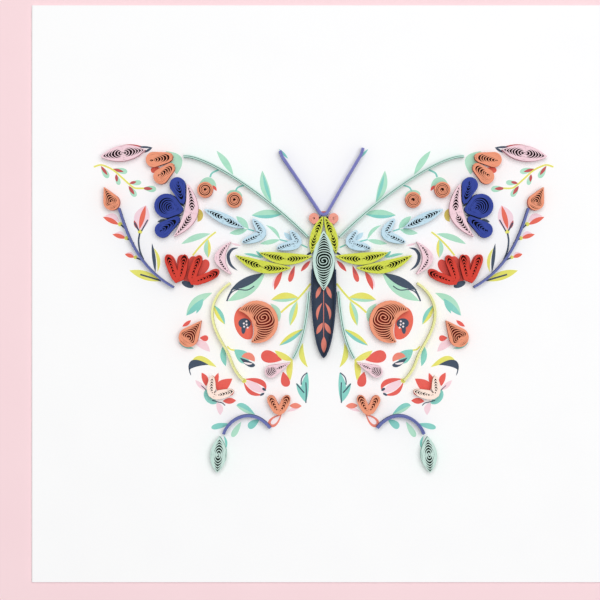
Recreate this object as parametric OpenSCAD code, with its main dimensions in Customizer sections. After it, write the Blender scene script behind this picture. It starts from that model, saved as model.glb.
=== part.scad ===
// Quilled paper butterfly on a folded greeting card.
// Paper strips stand on edge on the card front. They are rolled into coils and pinched into
// petals, buds and leaves, or left open as stems. The right wing mirrors the left wing.
// The card lies on its back leaf: +Z is out of its front, +Y is towards the antennae.

/* [Card] */
// Side of the square card front
card_side = 152.4; // [140:0.1:180]
// Thickness of one leaf of card stock
leaf_t = 0.4; // [0.3:0.05:0.8]
// Gap between the closed leaves
leaf_gap = 0.2; // [0.1:0.05:0.6]

/* [Paper strips] */
// Height of a strip standing on its edge
strip_h = 3; // [1.5:0.25:5]
// Thickness of the wall of one coil turn
strip_t = 0.24; // [0.18:0.01:0.3]
// Thickness of a stem, several strips glued face to face
stem_t = 0.5; // [0.3:0.05:0.7]
// Thickness of the strip that outlines the abdomen
outline_t = 0.45; // [0.3:0.05:0.6]

/* [Butterfly] */
// Width of the butterfly over the tips of its fore wings
wing_span = 120.4; // [100:0.1:130]
// Distance of the butterfly's axis from the middle of the card
axis_shift = 1; // [-3:0.1:3]
// Lean of the antennae from the axis
antenna_lean = 1.9; // [-3:0.1:3]
// Width of the coil that makes the thorax
thorax_w = 5.6; // [5:0.1:5.8]
// Diameter of an eye
eye_d = 2.8; // [2.4:0.1:3.2]

/* [Fore wing coils] */
// Width of the long pink bud
pink_bud_w = 4; // [3.2:0.1:4.4]
// Diameter of the pinched coral bud
coral_bud_d = 4.3; // [3.6:0.1:4.6]
// Diameter of a round coral bud
round_bud_d = 4.2; // [3.4:0.1:4.6]
// Width of the light blue leaf
blue_leaf_w = 2.6; // [2:0.1:3]
// Width of a light blue chevron's arm
chevron_w = 2.5; // [2:0.1:2.8]

/* [Hind wing coils] */
// Diameter of the pinched coral fruit
fruit_d = 5.2; // [4.4:0.1:5.8]
// Diameter of the pink drop
pink_drop_d = 3.3; // [2.8:0.1:3.6]
// Width of the pale lily's arm
lily_w = 2.3; // [1.8:0.1:2.6]
// Width of the coral heart's arm
heart_w = 2.1; // [1.7:0.1:2.4]
// Width of the mint coil at the tail
tail_w = 4.1; // [3.4:0.1:4.8]

/* [Hidden] */
$fn = 240;

sides = ["left", "right"];
wing_pieces = [
    "pink_bud", "coral_bell", "coral_bud", "round_buds",
    "blue_petal_upper", "blue_petal_middle", "blue_petal_lower", "pink_sepal",
    "blue_leaf", "chevron_outer", "chevron_inner", "pink_crescent", "red_petals",
    "lime_leaf_upper", "lime_leaf_lower", "lime_shoulder", "upper_stem", "side_stem",
    "fruit", "peony", "pink_drop", "lily", "heart", "tail_coil",
    "lime_stem", "lower_stem", "tail_stem"
];

// Layout picture: coordinates are pixels, x to the right and y down, and hold the left wing.
axis_px = 323.7;
card_middle_px = 293.75;
wing_tip_px = 95.2;
mm_per_px = wing_span / 2 / (axis_px - wing_tip_px);

// Colours of the paper
white_card = "#fbfbfb";
pale_pink = "#f2cfd8";
coral = "#f0977c";
royal_blue = "#2c3f9e";
light_blue = "#bfdfee";
lime = "#d3dc4a";
scarlet = "#d5332d";
mint = "#bfe2d6";
stem_green = "#8fd0bd";
violet = "#6a6cb8";
navy = "#2a3550";
blush = "#f8d9cf";
rose = "#ee8f7f";

card_top = 2 * leaf_t + leaf_gap;

// Share of a wall by which neighbouring turns sink into each other where they are glued
glue_share = 0.35;
turn_pitch = strip_t * (1 - glue_share);
// Smallest bulge of an arc, as a share of its half chord
flat_share = 0.03;
// Share of a coil's half width that its close-lying turns take up, pinched twice or once
bow_fill_share = 0.6;
drop_fill_share = 0.4;
// Length of the innermost turn of a leaf against its width, and of its loose heart
heart_length_share = 1.15;
heart_share = 0.6;
// Smallest radius of a loose heart and of the innermost turn of a drop, counted in walls
heart_walls = 1.3;
core_walls = 2;
// Share of an arm that laps over the fold of a folded coil
lap_share = 0.16;
// Gap between the turns of a tight coil
turn_gap = 0.1;
// Share by which the straight sides of a blunt drop sit inside its round ends
tuck_share = 0.01;
// Points along a curve that is not an arc
curve_steps = 12;
arm_steps = 10;
// Fullness of a bent arm, and the share of its way by which every turn falls short of the last
arm_power = 2.6;
arm_taper = 0.7;
arm_step = 0.09;

// Turns that lie close in a given share of the way from a coil's side to its middle
function turns_in(reach, fill) = max(3, floor(fill * reach / turn_pitch));

// Point of the layout picture in millimetres from the butterfly's axis and the card's middle
function at(px) = [(px[0] - axis_px) * mm_per_px, (card_middle_px - px[1]) * mm_per_px];
function middle(p, q) = (p + q) / 2;
function heading(p, q) = atan2(q[1] - p[1], q[0] - p[0]);
function unit(v) = v / norm(v);
function across(v) = [-v[1], v[0]];
function backwards(list) = [for (i = [len(list) - 1:-1:0]) list[i]];

// Points of a quadratic or cubic curve
function bend_point(p, c, q, t) = pow(1 - t, 2) * p + 2 * t * (1 - t) * c + pow(t, 2) * q;
function curve_point(p, c, d, q, t) =
    pow(1 - t, 3) * p + 3 * t * pow(1 - t, 2) * c + 3 * pow(t, 2) * (1 - t) * d + pow(t, 3) * q;
function curve(pts) =
    [for (i = [0:curve_steps]) curve_point(pts[0], pts[1], pts[2], pts[3], i / curve_steps)];
function curve_px(pts_px) = curve([for (p = pts_px) at(p)]);

// Circle through both ends of a chord that rises to sag over its middle
function arc_r(half, sag) = (pow(half, 2) + pow(sag, 2)) / (2 * abs(sag));
function arc_y(half, sag) = sag - sign(sag) * arc_r(half, sag);
function rise(x, half, sag) =
    arc_y(half, sag) + sign(sag) * sqrt(pow(arc_r(half, sag), 2) - pow(x, 2));
function firm(sag, half) =
    abs(sag) < flat_share * half ? (sag < 0 ? -1 : 1) * flat_share * half : sag;

// Outline between two arcs over one chord, a leaf or a crescent, drawn in by inset
module bow(half, sag_out, sag_in, inset = 0) {
    if (sag_in > 0)
        difference() {
            translate([0, arc_y(half, sag_out)]) circle(arc_r(half, sag_out) - inset);
            translate([0, arc_y(half, sag_in)]) circle(arc_r(half, sag_in) + inset);
        }
    else
        intersection() {
            translate([0, arc_y(half, sag_out)]) circle(arc_r(half, sag_out) - inset);
            translate([0, arc_y(half, sag_in)]) circle(arc_r(half, sag_in) - inset);
        }
}

// One turn of a bow-shaped coil, as a wall of paper
module bow_turn(half, sag_out, sag_in) {
    difference() {
        bow(half, sag_out, sag_in);
        bow(half, sag_out, sag_in, strip_t);
    }
}

// Coil pinched at both ends: the turns lie close along the sides and open towards the tips
module bow_coil(half, sag_out, sag_in) {
    sag_mid = firm((sag_out + sag_in) / 2, half);
    reach = (sag_out - sag_in) / 2;
    turns = turns_in(reach, bow_fill_share);
    last_reach = reach - (turns - 1) * turn_pitch;
    last_half = last_reach * heart_length_share;
    for (k = [0:turns - 1]) {
        half_k = half - (half - last_half) * k / (turns - 1);
        tip_y = rise(half_k, half, sag_mid);
        translate([0, tip_y])
            bow_turn(half_k,
                firm(sag_out - k * turn_pitch - tip_y, half_k),
                firm(sag_in + k * turn_pitch - tip_y, half_k));
    }
    room = last_reach - turn_pitch;
    heart_r = max(room * heart_share, heart_walls * strip_t);
    translate([0, sag_mid + room - heart_r])
        difference() {
            circle(heart_r);
            circle(heart_r - strip_t);
        }
}

// The same coil between two points of the layout, bulging to both sides of the way p to q
module bow_between(p_px, q_px, bulge_left, bulge_right) {
    p = at(p_px);
    q = at(q_px);
    translate(middle(p, q)) rotate(heading(p, q))
        bow_coil(norm(q - p) / 2, bulge_left, -bulge_right);
}

// Leaf-shaped coil folded over at f, with an arm to p and one to q
module folded_coil(f_px, p_px, q_px, w) {
    f = at(f_px);
    to_p = at(p_px) - f;
    to_q = at(q_px) - f;
    arm = (norm(to_p) + norm(to_q)) / 2;
    fold_way = unit(to_p) + unit(to_q);
    opening = acos(unit(to_p) * unit(to_q)) / 2;
    lap = arm * lap_share;
    translate(f) rotate(atan2(fold_way[1], fold_way[0]))
        for (flip = [0, 1])
            mirror([0, flip])
                intersection() {
                    rotate(opening) translate([(arm - lap) / 2, 0])
                        bow_coil((arm + lap) / 2, w / 2, -w / 2);
                    translate([-arm, 0]) square([arm * 3, arm * 2]);
                }
}

// Coil gathered at the top of its bulge: every turn is a smaller copy that meets the rest there
module gathered_coil(half, sag_out, sag_in, turns) {
    for (k = [0:turns - 1]) {
        size = 1 - k / turns;
        translate([0, (1 - size) * sag_out - k * turn_pitch])
            bow_turn(half * size, sag_out * size, sag_in * size);
    }
}

// Outline of a drop: a circle and the two tangents to a tip on +X, which may be blunt
module drop(r, tip, blunt = 0) {
    touch = acos((r - blunt) / tip);
    up = [cos(touch), sin(touch)];
    down = [cos(touch), -sin(touch)];
    end = [tip, 0];
    circle(r);
    if (blunt > 0) {
        side_r = r * (1 - tuck_share);
        end_r = blunt * (1 - tuck_share);
        polygon([side_r * up, [0, 0], side_r * down, end + end_r * down, end + end_r * up]);
        translate(end) circle(blunt);
    }
    else
        polygon([end, r * up, [0, 0], r * down]);
}

// Coil pinched at one end: the turns lie close at the round end and open towards the tip
module drop_coil(middle_px, tip_px, r, blunt_share = 0) {
    c = at(middle_px);
    tip = norm(at(tip_px) - c);
    blunt = r * blunt_share;
    turns = turns_in(r, drop_fill_share);
    core_share = core_walls * strip_t / r;
    translate(c) rotate(heading(c, at(tip_px)))
        for (k = [0:turns - 1]) {
            size = 1 - (1 - core_share) * k / (turns - 1);
            inner = size - strip_t / r;
            translate([(size - 1) * r + k * turn_pitch, 0])
                difference() {
                    drop(r * size, tip * size, blunt * size);
                    drop(r * inner, tip * inner, blunt * inner);
                }
        }
}

// What a radius adds to the one that its rim point gives in the layout
function grown(r, middle_px, rim_px) = r - norm(at(rim_px) - at(middle_px));

// Tight round coil: half turns about two centres make one spiral strip
module round_coil(middle_px, r) {
    turns = floor(r / (strip_t + turn_gap));
    pitch = r / (turns + 1 / 2);
    wall = pitch - turn_gap;
    translate(at(middle_px))
        for (h = [1:2 * turns]) {
            reach = (h + 1) * pitch / 2;
            even = h % 2 == 0;
            translate([even ? 0 : pitch / 2, 0])
                intersection() {
                    difference() {
                        circle(reach);
                        circle(reach - wall);
                    }
                    translate([-reach, even ? 0 : -reach]) square([2 * reach, reach]);
                }
        }
}

// Outline of an arm bent along a curve and pinched at both ends
function arm_half(u, half) = half * pow(1 - pow(abs(2 * u - 1), arm_power), arm_taper);
function arm_point(p, c, q, half, from, u) =
    let (
        t = from + (1 - 2 * from) * u,
        way = unit((1 - t) * (c - p) + t * (q - c))
    )
    bend_point(p, c, q, t) + arm_half(u, half) * across(way);
module arm(p, c, q, half, from) {
    polygon(concat(
        [for (i = [0:arm_steps]) arm_point(p, c, q, half, from, i / arm_steps)],
        [for (i = [arm_steps - 1:-1:1]) arm_point(p, c, q, -half, from, i / arm_steps)]
    ));
}

// Coil pinched and bent into a chevron, from p round the corner to q
module arm_coil(p_px, corner_px, q_px, w) {
    p = at(p_px);
    q = at(q_px);
    c = 2 * at(corner_px) - middle(p, q);
    reach = norm(c - p) + norm(q - c);
    turns = turns_in(w / 2, bow_fill_share);
    for (k = [0:turns - 1]) {
        half = w / 2 - k * turn_pitch;
        from = k * arm_step;
        difference() {
            arm(p, c, q, half, from);
            arm(p, c, q, half - strip_t, from + strip_t / reach);
        }
    }
}

// Strip standing along a path
function path_way(path, i) =
    unit(path[min(i + 1, len(path) - 1)] - path[max(i - 1, 0)]);
function beside(path, off) =
    [for (i = [0:len(path) - 1]) path[i] + off * across(path_way(path, i))];
module strip(path, t) {
    polygon(concat(beside(path, t / 2), backwards(beside(path, -t / 2))));
}

// Stands a drawn outline on the card front, on the left wing or mirrored to the right
module on_card() {
    translate([axis_shift, 0, card_top]) linear_extrude(strip_h) children();
}
module on_wing(side) {
    on_card() {
        if (side == "right") mirror([1, 0]) children();
        else children();
    }
}

// Card: one sheet folded at the left edge, its two leaves lying closed
module card() {
    fold_r = card_top / 2;
    color(white_card)
        translate([0, card_side / 2, 0]) rotate([90, 0, 0]) linear_extrude(card_side)
            translate([fold_r - card_side / 2, fold_r]) {
                difference() {
                    circle(fold_r);
                    circle(leaf_gap / 2);
                    translate([0, -card_top]) square([card_top, 2 * card_top]);
                }
                translate([0, leaf_gap / 2]) square([card_side - fold_r, leaf_t]);
                translate([0, -fold_r]) square([card_side - fold_r, leaf_t]);
            }
}

// Body
thorax_px = [[323.7, 231.5], [323.7, 290]];
thorax_side_px = [313.1, 260.8];
// Step sideways that keeps the pieces beside the thorax clear of it
thorax_step = thorax_w / 2 + at(thorax_side_px)[0];
module thorax() {
    color(mint) on_card() bow_between(thorax_px[0], thorax_px[1], thorax_w / 2, thorax_w / 2);
}

abdomen_px = [[312.2, 269.5], [310.9, 312], [315.2, 349], [323.7, 357.2]];
module abdomen() {
    side = [for (p = abdomen_px) at(p)];
    step = [thorax_step, 0];
    left = curve([side[0] - step, side[1] - step, side[2] - step, side[3]]);
    last = len(left) - 2;
    right = [for (i = [last:-1:0]) [-left[i][0], left[i][1]]];
    color(navy) on_card() strip(concat(left, right), outline_t);
}

antenna_px = [
    [282.2, 149.5], [284.2, 155.5], [287.4, 160.7], [303.6, 186.2],
    [318.9, 210.9], [320.8, 213.4], [323.7, 214.4]
];
module antennae() {
    left = [for (p = antenna_px) at(p)];
    last = len(left) - 2;
    root = left[last + 1];
    right = [for (i = [last:-1:0]) [-left[i][0], left[i][1]]];
    color(violet) on_card()
        translate(root) rotate(antenna_lean) translate(-root) strip(concat(left, right), stem_t);
}

eye_px = [[312.2, 217.9], [311.4, 225]];
eye_inner_px = [317.5, 217.9];
// Step out and up that keeps an eye's inner side where the shoulder leaves room for it
eye_step = eye_d / 2 - (at(eye_inner_px) - at(eye_px[0]))[0];
module eyes() {
    color(rose)
        for (side = sides)
            on_wing(side) translate([-eye_step, eye_step])
                drop_coil(eye_px[0], eye_px[1], eye_d / 2);
}

// Fore wing
pink_bud_px = [[101.6, 156.8], [145, 150]];
module pink_bud() {
    color(pale_pink) bow_between(pink_bud_px[0], pink_bud_px[1], pink_bud_w / 2, pink_bud_w / 2);
}

upper_bell_px = [[153.7, 160], [168.8, 157.6]];
lower_bell_px = [[161.2, 176.8], [171, 168]];
bell_rim_px = [145.9, 160];
bell_r_px = 7.8;
bell_blunt_share = 0.6;
module coral_bell() {
    r = bell_r_px * mm_per_px;
    apart = unit(at(upper_bell_px[0]) - at(lower_bell_px[0]));
    step = 2 * grown(r, upper_bell_px[0], bell_rim_px);
    color(coral) {
        translate(step * apart) drop_coil(upper_bell_px[0], upper_bell_px[1], r, bell_blunt_share);
        drop_coil(lower_bell_px[0], lower_bell_px[1], r, bell_blunt_share);
    }
}

coral_bud_px = [[112, 202.3], [104.2, 187.2]];
module coral_bud() {
    color(coral) drop_coil(coral_bud_px[0], coral_bud_px[1], coral_bud_d / 2);
}

round_bud_px = [[205.3, 190], [234.4, 200.1]];
module round_buds() {
    color(coral) for (p = round_bud_px) round_coil(p, round_bud_d / 2);
}

// Blue flower: a petal that grows steps away from the others
blue_upper_px = [[177.6, 185.4], [182.9, 202.4], [169.4, 185.4]];
blue_middle_px = [[166.5, 206.1], [178.6, 209.8], [154.2, 206.1]];
blue_lower_px = [[162.9, 230.2], [177.6, 219.6], [154.9, 230.2]];
blue_upper_r_px = 8.2;
blue_middle_r_px = 12.3;
blue_lower_r_px = 8;
blue_blunt_share = [0.29, 0.38, 0.4];
blue_upper_step_share = [-0.3, 1.3];
blue_lower_step_share = [-0.6, -1.2];
module blue_petal(px, r, blunt_share) {
    color(royal_blue) drop_coil(px[0], px[1], r, blunt_share);
}
function blue_grown(px, r_px) = grown(r_px * mm_per_px, px[0], px[2]);
module blue_petal_upper() {
    own = blue_grown(blue_upper_px, blue_upper_r_px);
    beside = blue_grown(blue_middle_px, blue_middle_r_px);
    translate([blue_upper_step_share[0] * own, blue_upper_step_share[1] * (own + beside)])
        blue_petal(blue_upper_px, blue_upper_r_px * mm_per_px, blue_blunt_share[0]);
}
module blue_petal_middle() {
    blue_petal(blue_middle_px, blue_middle_r_px * mm_per_px, blue_blunt_share[1]);
}
module blue_petal_lower() {
    own = blue_grown(blue_lower_px, blue_lower_r_px);
    beside = blue_grown(blue_middle_px, blue_middle_r_px);
    translate((own + beside) * blue_lower_step_share)
        blue_petal(blue_lower_px, blue_lower_r_px * mm_per_px, blue_blunt_share[2]);
}

pink_sepal_px = [[187.6, 184.6], [174.5, 236.2]];
pink_sepal_bulge_px = [17, -4];
module pink_sepal() {
    bulge = pink_sepal_bulge_px * mm_per_px;
    color(pale_pink) bow_between(pink_sepal_px[0], pink_sepal_px[1], bulge[0], bulge[1]);
}

blue_leaf_px = [[205.2, 209.8], [243.3, 227.8]];
module blue_leaf() {
    color(light_blue)
        bow_between(blue_leaf_px[0], blue_leaf_px[1], blue_leaf_w / 2, blue_leaf_w / 2);
}

outer_chevron_px = [[253.3, 219.3], [261.2, 233.8], [242.6, 242.4]];
module chevron_outer() {
    color(light_blue)
        arm_coil(outer_chevron_px[0], outer_chevron_px[1], outer_chevron_px[2], chevron_w);
}

inner_chevron_px = [[290.7, 230.8], [296.7, 242.8], [277, 248.4]];
module chevron_inner() {
    color(light_blue)
        arm_coil(inner_chevron_px[0], inner_chevron_px[1], inner_chevron_px[2], chevron_w);
}

pink_crescent_px = [[230.7, 273.7], [230.7, 242.2]];
pink_crescent_bulge_px = [15.8, -5.8];
module pink_crescent() {
    bulge = pink_crescent_bulge_px * mm_per_px;
    color(pale_pink) bow_between(pink_crescent_px[0], pink_crescent_px[1], bulge[0], bulge[1]);
}

red_left_px = [[178.4, 279.6], [167.4, 255.2], [185, 255]];
red_right_px = [[193, 280.6], [200.2, 256], [218.4, 272.2]];
red_w_px = 8;
module red_petals() {
    w = red_w_px * mm_per_px;
    color(scarlet) {
        folded_coil(red_left_px[0], red_left_px[1], red_left_px[2], w);
        folded_coil(red_right_px[0], red_right_px[1], red_right_px[2], w);
    }
}

lime_upper_px = [[311.2, 256.4], [260, 252.8]];
lime_upper_bulge_px = [10, 1.5];
module lime_leaf_upper() {
    bulge = lime_upper_bulge_px * mm_per_px;
    color(lime) translate([-thorax_step, 0])
        bow_between(lime_upper_px[0], lime_upper_px[1], bulge[0], bulge[1]);
}

lime_lower_px = [[290.3, 268], [236, 255.6]];
lime_lower_bulge_px = [11, 0.8];
module lime_leaf_lower() {
    bulge = lime_lower_bulge_px * mm_per_px;
    color(lime) translate([-thorax_step, 0])
        bow_between(lime_lower_px[0], lime_lower_px[1], bulge[0], bulge[1]);
}

lime_shoulder_px = [[321.87209, 217.8], [311.4, 253]];
lime_shoulder_bulge_px = [2.6, 6.4];
module lime_shoulder() {
    bulge = lime_shoulder_bulge_px * mm_per_px;
    // The upper end stays by the axis, and the lower one follows the thorax's side
    foot_px = lime_shoulder_px[1] - [thorax_step / mm_per_px, 0];
    color(lime) bow_between(lime_shoulder_px[0], foot_px, bulge[0], bulge[1]);
}

upper_stem_px = [[183.6, 156.4], [203, 153.5], [264, 192.5], [308, 237]];
module upper_stem() {
    color(stem_green) strip(curve_px(upper_stem_px), stem_t);
}

side_stem_px = [[119.2, 208.4], [127, 232], [136, 266], [173.7, 287.2]];
module side_stem() {
    color(violet) strip(curve_px(side_stem_px), stem_t);
}

// Hind wing
fruit_px = [[188.7, 337.2], [201.6, 320.4]];
module fruit() {
    color(coral) drop_coil(fruit_px[0], fruit_px[1], fruit_d / 2);
}

peony_px = [[239.6, 310.4], [251.6, 341.8]];
peony_bulge_px = [33.2, 8];
peony_turns = 9;
module peony() {
    p = at(peony_px[0]);
    q = at(peony_px[1]);
    bulge = peony_bulge_px * mm_per_px;
    color(coral)
        translate(middle(p, q)) rotate(heading(p, q))
            gathered_coil(norm(q - p) / 2, bulge[0], bulge[1], peony_turns);
}

pink_drop_px = [[271.1, 371.3], [290.4, 362.6]];
module pink_drop() {
    color(pale_pink) drop_coil(pink_drop_px[0], pink_drop_px[1], pink_drop_d / 2);
}

lily_px = [[212.6, 376.4], [213.6, 394], [233.4, 390.8]];
module lily() {
    color(blush) arm_coil(lily_px[0], lily_px[1], lily_px[2], lily_w);
}

heart_px = [[279, 411], [269.8, 396], [288, 395.6]];
module heart() {
    color(coral) folded_coil(heart_px[0], heart_px[1], heart_px[2], heart_w);
}

tail_coil_px = [[219.9, 437.2], [217.5, 471.8]];
module tail_coil() {
    color(mint) bow_between(tail_coil_px[0], tail_coil_px[1], tail_w / 2, tail_w / 2);
}

lime_stem_top_px = [[230.3, 283.2], [219, 290.5], [212.4, 301], [212.4, 313.5]];
lime_stem_middle_px = [[212.4, 313.5], [212.4, 332], [226, 346], [230.5, 359]];
lime_stem_foot_px = [[230.5, 359], [233, 366], [236, 373.5], [243.5, 380.2]];
module lime_stem() {
    top = curve_px(lime_stem_top_px);
    mid = curve_px(lime_stem_middle_px);
    foot = curve_px(lime_stem_foot_px);
    path = concat(top, [for (i = [1:curve_steps]) mid[i]], [for (i = [1:curve_steps]) foot[i]]);
    color(lime) strip(path, stem_t);
}

lower_stem_px = [[309, 291.5], [306.6, 318], [304.4, 339], [293, 358.4]];
module lower_stem() {
    color(stem_green) translate([-thorax_step, 0]) strip(curve_px(lower_stem_px), stem_t);
}

tail_stem_px = [[223.6, 434], [228, 419], [252, 404.5], [270.3, 427.8]];
module tail_stem() {
    color(violet) strip(curve_px(tail_stem_px), stem_t);
}

card();
thorax();
abdomen();
antennae();
eyes();
for (side = sides) {
    on_wing(side) pink_bud();
    on_wing(side) coral_bell();
    on_wing(side) coral_bud();
    on_wing(side) round_buds();
    on_wing(side) blue_petal_upper();
    on_wing(side) blue_petal_middle();
    on_wing(side) blue_petal_lower();
    on_wing(side) pink_sepal();
    on_wing(side) blue_leaf();
    on_wing(side) chevron_outer();
    on_wing(side) chevron_inner();
    on_wing(side) pink_crescent();
    on_wing(side) red_petals();
    on_wing(side) lime_leaf_upper();
    on_wing(side) lime_leaf_lower();
    on_wing(side) lime_shoulder();
    on_wing(side) upper_stem();
    on_wing(side) side_stem();
    on_wing(side) fruit();
    on_wing(side) peony();
    on_wing(side) pink_drop();
    on_wing(side) lily();
    on_wing(side) heart();
    on_wing(side) tail_coil();
    on_wing(side) lime_stem();
    on_wing(side) lower_stem();
    on_wing(side) tail_stem();
}
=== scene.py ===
import bisect
import math
import random

import bpy
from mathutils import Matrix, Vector


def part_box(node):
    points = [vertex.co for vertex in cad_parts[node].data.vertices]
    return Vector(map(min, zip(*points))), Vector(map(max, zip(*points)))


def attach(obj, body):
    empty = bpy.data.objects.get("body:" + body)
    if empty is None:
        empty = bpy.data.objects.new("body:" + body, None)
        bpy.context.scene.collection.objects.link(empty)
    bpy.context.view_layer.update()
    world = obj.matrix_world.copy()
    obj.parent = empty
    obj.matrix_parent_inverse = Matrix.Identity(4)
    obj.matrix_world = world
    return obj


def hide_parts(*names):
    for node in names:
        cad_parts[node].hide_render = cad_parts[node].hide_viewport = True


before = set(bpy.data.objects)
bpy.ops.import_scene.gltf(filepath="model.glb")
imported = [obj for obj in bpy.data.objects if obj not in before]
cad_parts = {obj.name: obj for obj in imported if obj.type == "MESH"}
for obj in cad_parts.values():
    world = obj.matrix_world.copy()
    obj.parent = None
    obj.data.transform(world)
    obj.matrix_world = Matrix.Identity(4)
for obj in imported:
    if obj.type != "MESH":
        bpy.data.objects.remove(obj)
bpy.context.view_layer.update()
bpy.ops.object.select_all(action="DESELECT")


# Card: one sheet of smooth white card stock, folded at its left edge and lying closed.
# The folded sheet is the CAD solid as it stands. The pressed surface is almost even, with
# a faint fibre that only shows in raking light.
class Socket:
    """An output of a shader node. Arithmetic on it adds Math nodes."""

    def __init__(self, tree, output=None):
        self.tree = tree
        self.output = output

    def node(self, kind, settings=None, inputs=None, out=0):
        added = self.tree.nodes.new(kind)
        for name, value in (settings or {}).items():
            setattr(added, name, value)
        for name, value in (inputs or {}).items():
            if isinstance(value, Socket):
                self.tree.links.new(value.output, added.inputs[name])
            else:
                added.inputs[name].default_value = value
        return Socket(self.tree, added.outputs[out])

    def math(self, operation, first, second):
        return self.node("ShaderNodeMath", {"operation": operation}, {0: first, 1: second})

    def __add__(self, other):
        return self.math("ADD", self, other)

    def __radd__(self, other):
        return self.math("ADD", other, self)

    def __sub__(self, other):
        return self.math("SUBTRACT", self, other)

    def __rsub__(self, other):
        return self.math("SUBTRACT", other, self)

    def __mul__(self, other):
        return self.math("MULTIPLY", self, other)

    def __rmul__(self, other):
        return self.math("MULTIPLY", other, self)

    def mixed(self, first, second):
        """A colour between two, by this value."""
        return self.node("ShaderNodeMix", {"data_type": "RGBA"}, {0: self, 6: first, 7: second}, 2)

    def into(self, shader, name):
        self.tree.links.new(self.output, shader.inputs[name])


def colour(code):
    shares = [int(code[i : i + 2], 16) / 255 for i in (0, 2, 4)]
    return [s / 12.92 if s <= 0.04045 else ((s + 0.055) / 1.055) ** 2.4 for s in shares] + [1]


def new_finish(name):
    """A material, a Socket to start its nodes from, and its shader."""
    finish = bpy.data.materials.new(name)
    finish.use_nodes = True
    return finish, Socket(finish.node_tree), finish.node_tree.nodes["Principled BSDF"]


def noise(start, place, scale, detail=2):
    return start.node("ShaderNodeTexNoise", None, {"Vector": place, "Scale": scale, "Detail": detail})


def raise_fibre(start, shader, fibre, strength):
    """Lets the fibre stand a little out of the face."""
    rise = {"Strength": strength, "Distance": 0.00003, "Height": fibre}
    start.node("ShaderNodeBump", None, rise).into(shader, "Normal")


card_tone, card_pale_tone = "f6f6f7", "fdfdfd"
card_fibre_scale = 3200
card_fibre_detail = 4
card_cloud_scale = 70
card_bump = 0.15
card_finish, start, shader = new_finish("pressed_card")
place = start.node("ShaderNodeTexCoord", out="Object")
card_fibre = noise(start, place, card_fibre_scale, card_fibre_detail)
card_cloud = noise(start, place, card_cloud_scale)
card_mottle = card_fibre * 0.6 + card_cloud * 0.4
card_mottle.mixed(colour(card_tone), colour(card_pale_tone)).into(shader, "Base Color")
(0.72 + card_fibre * 0.16).into(shader, "Roughness")
raise_fibre(start, shader, card_fibre, card_bump)
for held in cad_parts["card"].material_slots:
    held.material = card_finish


# Print: flat leaves, petals, stalks and the field of the abdomen, printed on the card front
# before any paper is glued to it. Each ink is a thin film, and a later ink lies on the
# ones before it. Both wings carry the same marks, mirrored. The darkest navy holds painted
# shade: two small painted shadows by the head, and the abdomen's field printed darker as shade.
pixel = 0.26346e-3
axis_px = 323.7
middle_px = 293.75
axis_x = 0.001
card_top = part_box("card")[1].z
wings = {"left": 1, "right": -1}
film = 0.000012
film_step = 0.000009
mark_levels = 4
mark_step = 0.0000018
weld = 1e-7


def laid_out(point_px):
    """A point of the left wing's layout, measured from the butterfly's axis."""
    return Vector(((point_px[0] - axis_px) * pixel, (middle_px - point_px[1]) * pixel))


def ribbon(columns):
    """A grid whose columns are pairs of points, one on each edge of the ribbon."""
    last = len(columns) - 1
    bpy.ops.mesh.primitive_grid_add(x_subdivisions=last, y_subdivisions=1, size=2)
    laid = bpy.context.object
    for vertex in laid.data.vertices:
        vertex.co = columns[round((vertex.co.x + 1) / 2 * last)][vertex.co.y > 0]
    return laid


def joined(pieces, name):
    bpy.ops.object.select_all(action="DESELECT")
    for piece in pieces:
        piece.select_set(True)
    bpy.context.view_layer.objects.active = pieces[0]
    if len(pieces) > 1:
        bpy.ops.object.join()
    pieces[0].name = name
    return pieces[0]


def through(points, steps):
    """A smooth path through the points."""
    ends = [2 * points[0] - points[1]] + points + [2 * points[-1] - points[-2]]
    path = []
    for a, b, c, d in zip(ends, ends[1:], ends[2:], ends[3:]):
        slope, bend, twist = c - a, 2 * a - 5 * b + 4 * c - d, 3 * (b - c) + d - a
        for i in range(steps):
            t = i / steps
            path.append((2 * b + slope * t + bend * t**2 + twist * t**3) / 2)
    return path + [points[-1]]


def beside(path, offset):
    """The path moved sideways, to the left of its way."""
    moved = []
    for i, point in enumerate(path):
        way = path[min(i + 1, len(path) - 1)] - path[max(i - 1, 0)]
        moved.append(point + Vector((-way.y, way.x)).normalized() * offset)
    return moved


def leaf_edges(base, tip, left, right, ends="leaf"):
    """Both edges of a leaf from base to tip. A petal is blunt at its tip, a drop at its base."""
    steps = 16
    pointed, blunt = 1, 0.5
    blunt_base = blunt if ends in ("drop", "oval") else pointed
    blunt_tip = blunt if ends in ("petal", "oval") else pointed
    widest = blunt_base / (blunt_base + blunt_tip)
    full = widest**blunt_base * (1 - widest) ** blunt_tip
    start, end = laid_out(base), laid_out(tip)
    across = Vector((start.y - end.y, end.x - start.x)).normalized() * pixel
    edges = []
    for i in range(steps + 1):
        t = (1 - math.cos(math.pi * i / steps)) / 2
        rise = t**blunt_base * (1 - t) ** blunt_tip / full
        middle = start.lerp(end, t)
        edges.append((middle - across * right * rise, middle + across * left * rise))
    return edges


def stalk_edges(points, width, taper=0):
    """Both edges of a stroke of even width. A tapered one runs out to a point at its ends."""
    path = through([laid_out(p) for p in points], steps=5)
    left, right = beside(path, -width * pixel / 2), beside(path, width * pixel / 2)
    edges = []
    for i, (point, a, b) in enumerate(zip(path, left, right)):
        full = 1 - taper * abs(2 * i / (len(path) - 1) - 1) ** 3
        edges.append((point.lerp(a, full), point.lerp(b, full)))
    return edges


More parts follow.
